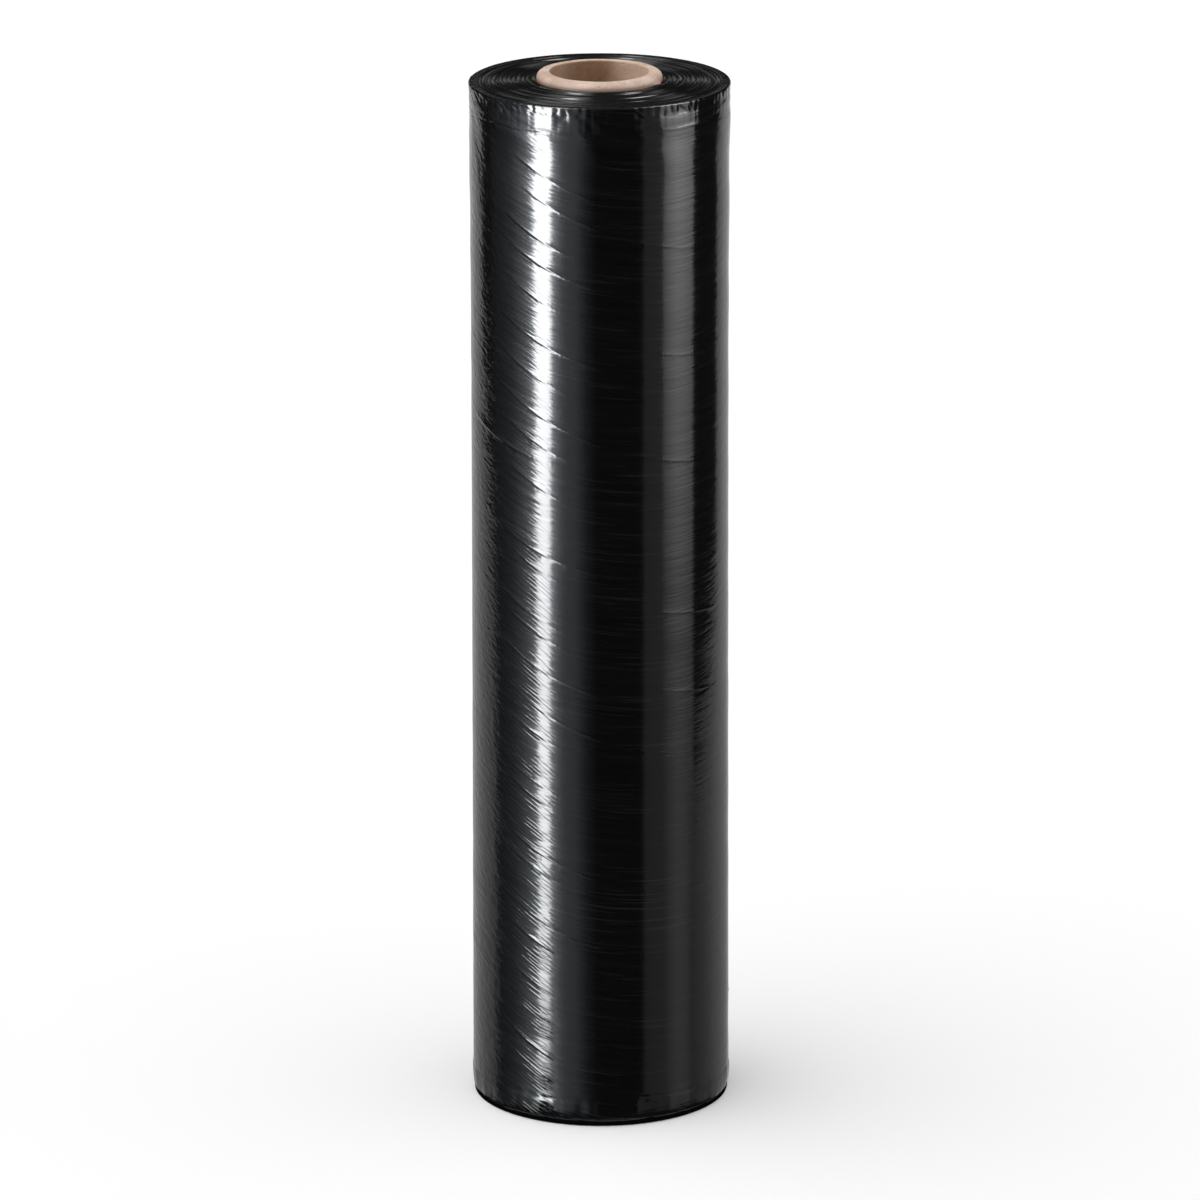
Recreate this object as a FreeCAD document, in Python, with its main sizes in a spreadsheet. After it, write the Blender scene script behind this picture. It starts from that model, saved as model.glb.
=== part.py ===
import FreeCAD, Part
import math
import os
import Sketcher

# A roll of black pallet film: one long web of stretch film wound tight on a cardboard core.
# It stands on the lower end of its core. Millimetres, +Z up along the core, and the origin is
# the middle of the circle that the core stands on.

SIZES = (
    ("film_width", 406, "width of the web, so the length of every turn"),
    ("roll_diameter", 99.8, "outside of the last turn at mid height"),
    ("core_bore", 38, "bore that a dispenser's spindle goes into"),
    ("core_wall", 5.2, "wall of the cardboard core"),
    ("core_stand_top", 3.8, "core beyond the web's upper edge"),
    ("core_stand_base", 2, "core beyond the web's lower edge"),
    ("core_shoulder", 1.8, "rounding of the core's upper outer edge, worn by handling"),
    ("core_bevel", 0.4, "bevel of the core's other edges, as the cutter leaves them"),
    ("turn_groups", 10, "groups of turns that show between the core and the rim"),
    ("rim_turns", 2.9, "thickness of the last, smooth group of turns"),
    ("end_dome", 1.1, "how far the first turns lie above the last ones"),
    ("web_wander", 0.36, "how far a group strays up or down as it is wound"),
    ("groove_depth", 0.55, "gap that shows between two groups of turns"),
    ("rim_ease", 0.6, "bevel where the last turns are pulled over the roll's edges"),
    ("edge_bead", 7.6, "height of the gathered band under the upper edge"),
    ("edge_swell", 0.25, "how far the gathered bands stand out"),
    ("flare", 0.25, "growth in radius towards the upper end"),
    ("flare_height", 96, "height over which the roll grows"),
    ("base_band", 10.4, "height of the gathered band at the lower edge"),
    ("base_lip", 1, "how far the lower edge turns out"),
    ("crease_count", 18, "long creases that the winding tension leaves"),
    ("crease_rise", 0.32, "height of a crease above the turn that it lies in"),
    ("crease_width", 2.1, "width of a crease"),
    ("crease_slope", 12, "degrees that a crease falls towards the right"),
    ("crease_bow", 1.6, "shift that lets both ends of a crease fade into the roll"),
)
GOLDEN_ANGLE = 137.5  # degrees from one crease to the next, so that none stand in a row
CREASE_SWEEP = 110  # degrees of the hoop that a crease is the proud part of
TOLERANCE = 1e-4


def make_sheet(doc):
    """The driving dimensions, one to a row: name, value, meaning."""
    sheet = doc.addObject("Spreadsheet::Sheet", "sizes")
    for row, (alias, value, meaning) in enumerate(SIZES, start=1):
        sheet.set(f"A{row}", alias)
        sheet.set(f"B{row}", str(value))
        sheet.set(f"C{row}", meaning)
        sheet.setAlias(f"B{row}", alias)
    doc.recompute()
    return sheet


def sketch_on(body, role, name):
    """A sketch on one of the body's own origin planes."""
    sketch = body.newObject("Sketcher::SketchObject", name)
    plane = next(f for f in body.Origin.OriginFeatures if f.Role == role)
    sketch.AttachmentSupport = [(plane, "")]
    sketch.MapMode = "FlatFace"
    return sketch


def circle(sketch, name, diameter):
    """A circle about the sketch's origin, its diameter given as an expression."""
    size = float(sketch.evalExpression(diameter))
    origin = FreeCAD.Vector(0, 0, 0)
    line = sketch.addGeometry(Part.Circle(origin, FreeCAD.Vector(0, 0, 1), size / 2))
    sketch.addConstraint(Sketcher.Constraint("Coincident", line, 3, -1, 1))
    index = sketch.addConstraint(Sketcher.Constraint("Diameter", line, size))
    sketch.renameConstraint(index, name)
    sketch.setExpression(f"Constraints.{name}", diameter)


def outline(sketch, corners):
    """A closed outline through corners, each a name and two expressions, across and up."""
    places = [
        FreeCAD.Vector(*(float(sketch.evalExpression(e)) for e in at), 0)
        for _, *at in corners
    ]
    count = len(corners)
    for i in range(count):
        sketch.addGeometry(Part.LineSegment(places[i], places[(i + 1) % count]))
    for i in range(count):
        following = (i + 1) % count
        sketch.addConstraint(Sketcher.Constraint("Coincident", i, 2, following, 1))
    for i, (name, across, up) in enumerate(corners):
        for way, expression in (("X", across), ("Y", up)):
            value = float(sketch.evalExpression(expression))
            rule = Sketcher.Constraint(f"Distance{way}", -1, 1, i, 1, value)
            index = sketch.addConstraint(rule)
            sketch.renameConstraint(index, f"{name}_{way}")
            sketch.setExpression(f"Constraints.{name}_{way}", expression)


def rings(shape, radius, height=None):
    """Names of the round edges of a shape that have this radius, and this height if given."""
    names = []
    for number, edge in enumerate(shape.Edges, start=1):
        curve = edge.Curve
        if not isinstance(curve, Part.Circle) or abs(curve.Radius - radius) > TOLERANCE:
            continue
        if height is None or abs(curve.Center.z - height) < TOLERANCE:
            names.append(f"Edge{number}")
    return names


def dress(body, kind, name, base, edges, size):
    """A Fillet or Chamfer on the named edges, its size given as an expression."""
    feature = body.newObject(f"PartDesign::{kind}", name)
    feature.Base = (base, edges)
    feature.setExpression("Radius" if kind == "Fillet" else "Size", size)
    return feature


def make_core(doc, sheet):
    """The cardboard tube: a padded ring with a rounded shoulder and bevelled edges."""
    body = doc.addObject("PartDesign::Body", "core_tube")
    body.Label = "core_tube"
    ring = sketch_on(body, "XY_Plane", "core_ring")
    circle(ring, "bore", "sizes.core_bore")
    circle(ring, "outside", "sizes.core_bore + 2 * sizes.core_wall")
    pad = body.newObject("PartDesign::Pad", "core_pad")
    pad.Profile = ring
    pad.setExpression(
        "Length", "sizes.core_stand_base + sizes.film_width + sizes.core_stand_top"
    )
    doc.recompute()
    bore = sheet.core_bore / 2
    outside = bore + sheet.core_wall
    shoulder = rings(pad.Shape, outside, float(pad.Length))
    rounded = dress(body, "Fillet", "shoulder", pad, shoulder, "sizes.core_shoulder")
    doc.recompute()
    cut_edges = rings(rounded.Shape, outside, 0) + rings(rounded.Shape, bore)
    dress(body, "Chamfer", "cut_edges", rounded, cut_edges, "sizes.core_bevel")
    return body


def stray(i):
    """How far group i strays, from -1 to 1, in an even-handed but unequal way."""
    return math.sin(2.4 * i) * math.cos(0.7 * i)


def end_corners(sheet, side):
    """The corners of one end of the roll, from the core outwards.

    Every turn is as long as the web is wide, so a group that strays up at one end is drawn in
    at the other: both ends follow the same line, one web's width apart.
    """
    count = int(sheet.turn_groups)
    first = "(sizes.core_bore / 2 + sizes.core_wall)"
    span = f"(sizes.roll_diameter / 2 - sizes.rim_turns - {first})"
    edge = "sizes.core_stand_base"
    sense = 1 if side == "lower" else -1
    if side == "upper":
        edge += " + sizes.film_width"
    corners = []
    for i in range(count):
        start = (i + 0.25 * stray(i) * (i > 0)) / count
        crest = (i + 0.62 + 0.2 * stray(i + 5)) / count
        line = f"{edge} + sizes.end_dome * (1 - {start:.4f})"
        gap = f"{sense} * sizes.groove_depth * {0.75 + 0.25 * stray(i + 3):.4f}"
        corners.append((f"{side}_gap{i}", f"{first} + {span} * {start:.4f}", f"{line} + {gap}"))
        corners.append(
            (
                f"{side}_turns{i}",
                f"{first} + {span} * {crest:.4f}",
                f"{line} + sizes.web_wander * {stray(i):.4f}",
            )
        )
    rim = "sizes.roll_diameter / 2 - sizes.rim_turns"
    corners.append((f"{side}_gap{count}", rim, f"{edge} + {sense} * sizes.groove_depth"))
    corners.append((f"{side}_rim_in", f"{rim} + sizes.rim_turns / 4", edge))
    return corners


def make_turns(doc, sheet):
    """The wound web without its creases: half a section, turned about the core's axis."""
    body = doc.addObject("PartDesign::Body", "wound_web")
    body.Label = "wound_web"
    section = sketch_on(body, "XZ_Plane", "section")
    side = "sizes.roll_diameter / 2"
    low = "sizes.core_stand_base"
    top = f"{low} + sizes.film_width"
    upper_side = f"{side} + sizes.flare"
    corners = end_corners(sheet, "lower")
    corners += [
        ("lower_edge", f"{side} + sizes.base_lip", low),
        ("lip", f"{side} + sizes.base_lip", f"{low} + sizes.base_band / 2"),
        ("band_end", side, f"{low} + sizes.base_band"),
        ("flare_start", side, f"{top} - sizes.flare_height"),
        ("bead_end", upper_side, f"{top} - sizes.edge_bead"),
        ("bead", f"{upper_side} + sizes.edge_swell", f"{top} - sizes.edge_bead * 2 / 3"),
        ("upper_edge", f"{upper_side} + sizes.edge_swell", top),
    ]
    corners += reversed(end_corners(sheet, "upper"))
    outline(section, corners)
    turned = body.newObject("PartDesign::Revolution", "turned")
    turned.Profile = section
    turned.ReferenceAxis = (section, ["V_Axis"])
    turned.Angle = 360
    doc.recompute()
    radius = sheet.roll_diameter / 2
    base = sheet.core_stand_base
    crown = radius + sheet.flare + sheet.edge_swell
    edges = rings(turned.Shape, radius + sheet.base_lip, base)
    edges += rings(turned.Shape, crown, base + sheet.film_width)
    dress(body, "Chamfer", "rims", turned, edges, "sizes.rim_ease")
    return body


def make_crease(doc, sheet, i):
    """One crease: the proud edge of a bevelled disc laid askew, so both its ends fade out.

    The bevel is the crease's long side and the disc's flat top is its steep side.
    """
    disc = doc.addObject("Part::Cone", f"crease{i}")
    edge = "sizes.roll_diameter / 2 + sizes.crease_rise - sizes.crease_bow"
    disc.setExpression("Radius2", edge)
    disc.setExpression("Radius1", f"{edge} - 2 * sizes.crease_rise")
    disc.setExpression("Height", "2 * sizes.crease_width")
    disc.Angle = CREASE_SWEEP
    turn = math.radians(GOLDEN_ANGLE * i)
    share = (i + 0.5 + 0.35 * stray(i)) / int(sheet.crease_count)
    plain = "(sizes.film_width - sizes.base_band - sizes.flare_height)"
    height = f"sizes.core_stand_base + sizes.base_band + {plain} * {share:.4f}"
    slope = f"sizes.crease_slope * {1 + 0.4 * stray(i + 2):.4f}"
    disc.setExpression(
        "Placement",
        f"placement(vector(sizes.crease_bow * {math.cos(turn):.4f}; "
        f"sizes.crease_bow * {math.sin(turn):.4f}; {height}); "
        f"rotationz({GOLDEN_ANGLE * i}) * rotationx(-{slope}) * rotationz({-CREASE_SWEEP / 2}))",
    )
    return disc


def make_winding(doc, sheet):
    """All the turns of the web as one solid, with the creases that show on the last turn."""
    wound = doc.addObject("Part::MultiFuse", "creased_web")
    wound.Shapes = [make_turns(doc, sheet)] + [
        make_crease(doc, sheet, i) for i in range(int(sheet.crease_count))
    ]
    seat = doc.addObject("Part::Cylinder", "core_seat")
    seat.setExpression("Radius", "sizes.core_bore / 2 + sizes.core_wall")
    seat.setExpression("Height", "sizes.core_stand_base + sizes.film_width + sizes.core_stand_top")
    winding = doc.addObject("Part::Cut", "film_winding")
    winding.Label = "film_winding"
    winding.Base = wound
    winding.Tool = seat
    return winding


def check(doc, pieces):
    """Stops if anything failed to compute, or if a piece isn't one valid solid."""
    for thing in doc.Objects:
        if {"Invalid", "Error"} & set(thing.State):
            raise RuntimeError(f"{thing.Name} failed: {thing.State}")
    for piece in pieces:
        shape = piece.Shape
        if shape.isNull() or not shape.isValid() or len(shape.Solids) != 1:
            raise RuntimeError(f"{piece.Label} isn't one valid solid")


doc = FreeCAD.newDocument("film_roll")
sheet = make_sheet(doc)
pieces = [make_core(doc, sheet), make_winding(doc, sheet)]
doc.recompute()
check(doc, pieces)
os.makedirs("parts", exist_ok=True)
for piece in pieces:
    piece.Shape.exportStep(f"parts/{piece.Label}.step")
    box = piece.Shape.BoundBox
    print(f"{piece.Label}: {piece.Shape.Volume / 1000:.1f} cm3, z {box.ZMin:.2f} to {box.ZMax:.2f}")
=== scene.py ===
import math

import bmesh
import bpy
import numpy as np
from mathutils import Matrix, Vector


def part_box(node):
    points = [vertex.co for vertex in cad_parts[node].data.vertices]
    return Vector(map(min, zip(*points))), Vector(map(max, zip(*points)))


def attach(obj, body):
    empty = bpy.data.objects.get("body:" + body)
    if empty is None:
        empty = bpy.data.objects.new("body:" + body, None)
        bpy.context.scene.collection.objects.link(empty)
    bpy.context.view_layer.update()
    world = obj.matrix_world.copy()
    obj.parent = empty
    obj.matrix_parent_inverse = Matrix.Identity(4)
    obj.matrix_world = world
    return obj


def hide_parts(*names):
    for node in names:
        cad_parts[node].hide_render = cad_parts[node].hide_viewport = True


# A roll of black stretch film on a cardboard core, standing on the lower end of the core.
# Metres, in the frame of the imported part: +Z up along the core. Angles round the roll are
# counted from the side that faces -Y, and grow towards +X.
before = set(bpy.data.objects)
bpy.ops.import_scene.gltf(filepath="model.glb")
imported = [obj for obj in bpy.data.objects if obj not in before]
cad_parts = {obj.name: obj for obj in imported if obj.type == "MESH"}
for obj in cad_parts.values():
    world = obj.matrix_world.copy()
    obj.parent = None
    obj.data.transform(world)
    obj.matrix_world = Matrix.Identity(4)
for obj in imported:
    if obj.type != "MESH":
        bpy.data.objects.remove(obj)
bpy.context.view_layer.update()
MM = 0.001


# ------------------------------------------------------------------------------------------
# The core: a tube of kraft board, wound from strips of ply on a mandrel, glued and sawn to
# length. Handling has rounded its upper outer edge and lifted the end of one ply.
# ------------------------------------------------------------------------------------------
core_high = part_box("core_tube")[1]
CORE_RADIUS = core_high.x
CORE_TOP = core_high.z
BORE_RADIUS = 19 * MM
CORE_COLUMNS = 240
SHOULDER = 2.4 * MM  # rounding of the upper outer edge
SAWN_BEVEL = 0.4 * MM  # bevel that the saw and the sander leave on the other edges
PLY = 0.52 * MM  # thickness of one ply
STRIP_RISE = 88 * MM  # height that a strip of ply climbs in one turn of the helix
GROOVE = 0.10 * MM  # depth of the groove where two strips of the outer or inner ply meet
SKIN = 0.1 * MM  # points this close to a wall or an end belong to it
LIFTED_ANGLE = 66  # where the end of the lifted ply is
LIFTED_DEPTH = 2.9 * MM  # how far it is below the sawn end
LIFTED_BY = 1.5 * MM

# Colours of the board: each pair is its darker and its paler patches.
KRAFT = ((0.52, 0.37, 0.285, 1), (0.70, 0.545, 0.45, 1))
# Darker lining colours, darkened further as painted shade inside the bore.
BORE_PLY_AND_SHADE = ((0.21, 0.115, 0.062, 1), (0.30, 0.175, 0.10, 1))
# Browner outer ply, darkened further as painted shade where the film meets it.
WALL_PLY_AND_SHADE = (0.255, 0.14, 0.087, 1)
# Pale ply colour, painted light on the sides of the bore.
PAINTED_LIGHT_PLY = (0.66, 0.475, 0.36, 1)
DARK_FLECK = (0.28, 0.17, 0.11, 1)


def ring_mesh(name, radius, height):
    """A closed mesh of rings; radius and height are rows by columns, going round the wall."""
    rows, columns = radius.shape
    angle = np.linspace(0, 2 * math.pi, columns, endpoint=False)
    points = np.stack([radius * np.sin(angle), -radius * np.cos(angle), height], axis=-1)
    column = np.arange(columns)
    beside = (column + 1) % columns
    row = np.arange(rows)[:, None] * columns
    above = np.roll(row, -1, axis=0)
    quads = np.stack([row + column, row + beside, above + beside, above + column], axis=-1)
    mesh = bpy.data.meshes.new(name)
    mesh.from_pydata(points.reshape(-1, 3).tolist(), [], quads.reshape(-1, 4).tolist())
    mesh.shade_smooth()
    piece = bpy.data.objects.new(name, mesh)
    bpy.context.scene.collection.objects.link(piece)
    return piece


def arc(centre, radius, first, last, count):
    """Points of an arc in the half section, as rows of radius and height; angles in degrees."""
    turn = np.radians(np.linspace(first, last, count))
    return [(centre[0] + radius * math.cos(t), centre[1] + radius * math.sin(t)) for t in turn]


def degrees_past(angle, start):
    """How far an angle in radians is past a start in degrees, from -180 to 180 degrees."""
    return (np.degrees(angle) - start + 180) % 360 - 180


def board_profile():
    """Half section of the tube: up the outside, in over the top, down the bore, and out."""
    mouth_radius = BORE_RADIUS + SAWN_BEVEL
    outside = [(CORE_RADIUS, z) for z in np.linspace(SAWN_BEVEL, CORE_TOP - 9 * MM, 40)]
    outside += [(CORE_RADIUS, z) for z in np.linspace(CORE_TOP - 8.5 * MM, CORE_TOP - SHOULDER, 18)]
    shoulder = arc((CORE_RADIUS - SHOULDER, CORE_TOP - SHOULDER), SHOULDER, 8, 90, 12)
    top = [(r, CORE_TOP) for r in np.linspace(CORE_RADIUS - SHOULDER, mouth_radius, 17)[1:]]
    mouth = arc((mouth_radius, CORE_TOP - SAWN_BEVEL), SAWN_BEVEL, 110, 180, 5)
    bore = [(BORE_RADIUS, z) for z in np.linspace(CORE_TOP - 2 * SAWN_BEVEL, 2 * SAWN_BEVEL, 150)]
    base = [(r, 0.0) for r in np.linspace(mouth_radius, CORE_RADIUS - SAWN_BEVEL, 11)]
    return np.array(outside + shoulder + top + mouth + bore + base)


def make_core():
    profile = board_profile()
    angle = np.linspace(0, 2 * math.pi, CORE_COLUMNS, endpoint=False)[None, :]
    radius = np.repeat(profile[:, :1], CORE_COLUMNS, axis=1)
    height = np.repeat(profile[:, 1:], CORE_COLUMNS, axis=1)

    # The strips' edges leave a shallow helical groove in both walls, with a fine step in the bore.
    from_edge = ((height / STRIP_RISE + angle / (2 * math.pi)) % 1 - 0.5) * STRIP_RISE
    groove = GROOVE * np.exp(-((from_edge / (0.9 * MM)) ** 2))
    step = GROOVE / 2 * (0.5 + 0.5 * np.tanh(from_edge / (0.7 * MM)))
    in_bore = radius < BORE_RADIUS + SKIN
    on_wall = radius > CORE_RADIUS - SKIN
    radius = radius + in_bore * (groove + step) - on_wall * groove

    # The plies show as faint rings on both sawn ends, not quite round and not quite flat.
    ends = (height > CORE_TOP - 0.6 * MM) | (height < SKIN)
    wander = 0.16 * MM * np.sin(angle + 0.9) + 0.07 * MM * np.sin(3 * angle)
    ring = np.cos(2 * math.pi * (radius + wander - BORE_RADIUS) / PLY)
    worn = 0.04 * MM * np.sin(2 * angle + 1) + 0.03 * MM * np.sin(7 * angle)
    inward = np.where(height > CORE_TOP / 2, -1.0, 1.0)
    height = height + ends * inward * (0.035 * MM * (1 + ring) + 0.04 * MM + worn)

    # The shoulder isn't turned on a lathe: it is a little fuller on one side than the other.
    near_top = np.clip((height - (CORE_TOP - 2.5 * MM)) / (2.5 * MM), 0, 1)
    outer = np.clip((radius - (CORE_RADIUS - 2 * MM)) / (2 * MM), 0, 1)
    radius = radius - near_top * outer * (0.12 * MM * (1 + np.sin(2 * angle + 2.2)))
    height = height - near_top * outer * (0.10 * MM * (1 + np.sin(3 * angle)))

    # The end of one ply has lifted where the tube comes out of the film.
    beside = degrees_past(angle, LIFTED_ANGLE) / 5.5
    above = (height - (CORE_TOP - LIFTED_DEPTH)) / (0.55 * MM)
    lifted = np.exp(-(beside**2)) * np.exp(-(above**2))
    radius = radius + on_wall * LIFTED_BY * lifted
    height = np.clip(height, 0, CORE_TOP)
    return ring_mesh("cardboard_core", radius, height)


def node_adder(owner):
    """Empties the owner's node tree; gives a function that adds a node and sets its inputs.

    An input is named, with _ for a space, or numbered, as in i0. The function returns the node's
    outputs. An input that is given another node's output is linked to it.
    """
    owner.use_nodes = True
    tree = owner.node_tree
    tree.nodes.clear()

    def add(kind, settings=None, **inputs):
        node = tree.nodes.new(f"ShaderNode{kind}")
        for key, value in (settings or {}).items():
            setattr(node, key, value)
        for key, value in inputs.items():
            numbered = key[0] == "i" and key[1:].isdigit()
            socket = node.inputs[int(key[1:]) if numbered else key.replace("_", " ")]
            if isinstance(value, bpy.types.NodeSocket):
                tree.links.new(value, socket)
            else:
                socket.default_value = value
        return node.outputs

    return add


def new_finish(name):
    """A new material, and the function that adds nodes to it."""
    material = bpy.data.materials.new(name)
    return material, node_adder(material)


def maths(add, operation, first, second=0.0, third=0.0):
    """One Math node's result."""
    return add("Math", {"operation": operation}, i0=first, i1=second, i2=third)[0]


def times(add, first, second):
    """The product of two values."""
    return maths(add, "MULTIPLY", first, second)


def mixed(add, share, first, second):
    """The first colour, with a share of the second in its place."""
    return add("MixRGB", Fac=share, Color1=first, Color2=second)["Color"]


def from_axis(add, x, y):
    """How far a place is from the axis of the roll."""
    return maths(add, "SQRT", maths(add, "ADD", times(add, x, x), times(add, y, y)))


def bumped(add, height):
    """The normal of a face with a fine relief, whose height is in metres."""
    return add("Bump", Height=height, Distance=1.0, Strength=1.0)["Normal"]


def fade(add, value, low, high, out_low=0.0, out_high=1.0):
    """The value brought smoothly from the range low to high into the range out_low to out_high."""
    return add(
        "MapRange",
        {"interpolation_type": "SMOOTHSTEP"},
        Value=value,
        From_Min=low,
        From_Max=high,
        To_Min=out_low,
        To_Max=out_high,
    )["Result"]


def kraft_board():
    """Kraft board: warm buff paper with fibres, dark flecks and a matt, slightly furry face."""
    material, add = new_finish("kraft_board")
    place = add("TexCoord")["Object"]
    cloud = add("TexNoise", Vector=place, Scale=95.0, Detail=4.0, Roughness=0.6)["Fac"]
    fibre = add("Mapping", Vector=place, Scale=(900.0, 900.0, 3400.0))["Vector"]
    fibre = add("TexNoise", Vector=fibre, Scale=1.0, Detail=3.0, Roughness=0.65)["Fac"]
    fleck = add("TexNoise", Vector=place, Scale=620.0, Detail=2.0)["Fac"]
    tone = maths(add, "ADD", times(add, cloud, 0.6), times(add, fibre, 0.4))
    tone = fade(add, tone, 0.38, 0.62)
    colour = mixed(add, tone, *KRAFT)

    # The outer ply is browner than the sawn end. It is darkest where the film meets it, and that
    # darkening towards the film is painted shade.
    x, y, z = add("SeparateXYZ", Vector=place)
    span = from_axis(add, x, y)
    wall = fade(add, span, CORE_RADIUS - 0.9 * MM, CORE_RADIUS - 0.2 * MM)
    below = fade(add, z, CORE_TOP - 3.6 * MM, CORE_TOP - 1.1 * MM, 1.0, 0.0)
    colour = mixed(add, times(add, wall, below), colour, WALL_PLY_AND_SHADE)

    # The ply that lines the bore is darker, and darker still as painted shade inside the tube. It is
    # paler to the right and a little to the left, as painted light on those sides.
    lining = fade(add, span, BORE_RADIUS + 0.2 * MM, BORE_RADIUS + 0.5 * MM, 1.0, 0.0)
    patchy = maths(add, "ADD", x, times(add, cloud, 12 * MM))
    painted_light_right = fade(add, patchy, 7 * MM, 24 * MM)
    painted_light_left = fade(add, x, -17 * MM, -8 * MM, 0.30, 0.0)
    brown = mixed(add, tone, *BORE_PLY_AND_SHADE)
    brown = mixed(add, maths(add, "ADD", painted_light_right, painted_light_left), brown, PAINTED_LIGHT_PLY)
    colour = mixed(add, lining, colour, brown)

    # Dark flecks of old fibre, and the furry face of the paper.
    flecked = times(add, fade(add, fleck, 0.66, 0.74), 0.55)
    colour = mixed(add, flecked, colour, DARK_FLECK)
    rough = fade(add, fibre, 0.3, 0.7, 0.42, 0.60)
    relief = maths(add, "ADD", times(add, fibre, 0.12 * MM), times(add, cloud, 0.2 * MM))
    shader = add(
        "BsdfPrincipled",
        Base_Color=colour,
        Roughness=rough,
        Normal=bumped(add, relief),
        Specular_IOR_Level=0.22,
    )
    add("OutputMaterial", Surface=shader["BSDF"])
    return material


core = make_core()
core.data.materials.append(kraft_board())
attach(core, "root")
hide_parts("core_tube")


# ------------------------------------------------------------------------------------------
# The wound turns: over a thousand turns of 20 micron film, wound tight on the core. At both
# ends their edges show as uneven rings, since the web strays up and down as it is wound.
# ------------------------------------------------------------------------------------------
film_low, film_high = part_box("film_winding")
FILM_BASE = film_low.z
FILM_TOP = FILM_BASE + 406 * MM
FIRST_TURN = CORE_RADIUS + 0.02 * MM
RIM_INSIDE = 47 * MM  # where the last, smooth group of turns begins
END_DOME = 0.7 * MM  # how far the first turns stand above the last
TOP_DROP = 0.35 * MM  # how far the outermost of these turns end below the rim
FOOT_RISE = 1.3 * MM  # how far the inner turns end above the web's lower edge
FOOT_GAP = 0.3 * MM  # the outer turns all but touch the ground, inside the lip
FOOT_RADIUS = 50.2 * MM
END_COLUMNS = 256
END_RINGS = 176
FOOT_RINGS = 76
EDGE_BLACK = ((0.0015, 0.0015, 0.0015, 1), (0.005, 0.005, 0.0055, 1))


def turn_edges(radius, angle):
    """How far the edges of the turns stray at each place on an end of the roll."""
    rng = np.random.default_rng(11)
    centre = radius + 0.30 * MM * np.sin(angle + 0.8) + 0.12 * MM * np.sin(2 * angle + 2)
    total = np.zeros(np.broadcast(radius, angle).shape)

    # Groups of turns that stand out as ridges, from the core to the rim.
    ridge = 24.8
    while ridge < 46.2:
        stand = rng.uniform(0.42, 0.82) * (0.8 + 0.2 * np.sin(angle + rng.uniform(0, 6)))
        wide = rng.uniform(0.33, 0.54)
        stray = ridge * MM + rng.uniform(0.05, 0.25) * MM * np.sin(angle + rng.uniform(0, 6))
        away = np.abs(centre - stray) / (wide * MM)
        total = total + stand * MM * np.exp(-(away**1.5))
        ridge += rng.uniform(1.45, 2.4)

    # Single turns between them, each strayed over a part of the way round.
    fine = 24.4
    while fine < 46.8:
        part = np.clip(np.sin(angle * rng.integers(1, 3) + rng.uniform(0, 6)) + 0.4, 0, 1)
        away = (centre - fine * MM) / (rng.uniform(0.14, 0.24) * MM)
        total = total + rng.uniform(-0.22, 0.22) * MM * part * np.exp(-(away**2))
        fine += rng.uniform(0.3, 0.6)
    return total


def end_line(radius, angle):
    """The upper end of the roll above the rim of the last turns."""
    share = (radius - FIRST_TURN) / (RIM_INSIDE - FIRST_TURN)
    settled = np.clip((RIM_INSIDE - radius) / (0.7 * MM), 0, 1)
    return END_DOME * (1 - share) + turn_edges(radius, angle) * settled - 0.6 * MM * (1 - settled)


def make_wound_turns():
    angle = np.linspace(0, 2 * math.pi, END_COLUMNS, endpoint=False)[None, :]
    upper = np.linspace(FIRST_TURN, RIM_INSIDE + 0.1 * MM, END_RINGS)[:, None]
    upper_line = FILM_TOP - TOP_DROP + end_line(upper, angle)
    lower = np.linspace(FIRST_TURN, FOOT_RADIUS, FOOT_RINGS)[:, None]
    lowered = np.clip((lower - 42 * MM) / (4 * MM), 0, 1)
    lower_line = FILM_BASE + FOOT_RISE - turn_edges(lower, angle) * (1 - lowered)
    lower_line = lower_line - (FILM_BASE + FOOT_RISE - FOOT_GAP) * lowered
    lower_line = np.maximum(lower_line, FOOT_GAP)
    foot_wall = np.array([[FOOT_RADIUS, FILM_BASE + 1 * MM], [RIM_INSIDE, FILM_BASE + 5 * MM]])
    radius = np.concatenate([upper[::-1], lower, foot_wall[:, :1]])
    wall_line = np.repeat(foot_wall[:, 1:], END_COLUMNS, axis=1)
    height = np.concatenate([upper_line[::-1], lower_line, wall_line])
    return ring_mesh("wound_turns", np.repeat(radius, END_COLUMNS, axis=1), height)


def film_edges():
    """The cut edges of black film, glossy along each turn; towards the foot the gloss is taken away
    as painted shade under the lip.
    """
    material, add = new_finish("film_edges")
    place = add("TexCoord")["Object"]
    x, y, z = add("SeparateXYZ", Vector=place)
    turns = add("CombineXYZ", X=times(add, from_axis(add, x, y), 2600.0))["Vector"]
    around = add("Mapping", Vector=place, Scale=(22.0, 22.0, 0.0))["Vector"]
    turns = add("VectorMath", {"operation": "ADD"}, i0=turns, i1=around)["Vector"]
    grain = add("TexNoise", Vector=turns, Scale=1.0, Detail=2.0)["Fac"]
    shader = add(
        "BsdfPrincipled",
        Base_Color=mixed(add, grain, *EDGE_BLACK),
        Roughness=fade(add, grain, 0.3, 0.7, 0.09, 0.18),
        Normal=bumped(add, times(add, grain, 0.05 * MM)),
        # No gloss towards the foot: painted shade under the lip.
        Specular_IOR_Level=fade(add, z, 4 * MM, 9 * MM, 0.0, 0.5),
    )
    add("OutputMaterial", Surface=shader["BSDF"])
    return material


turns = make_wound_turns()
turns.data.materials.append(film_edges())
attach(turns, "root")
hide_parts("film_winding")


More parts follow.
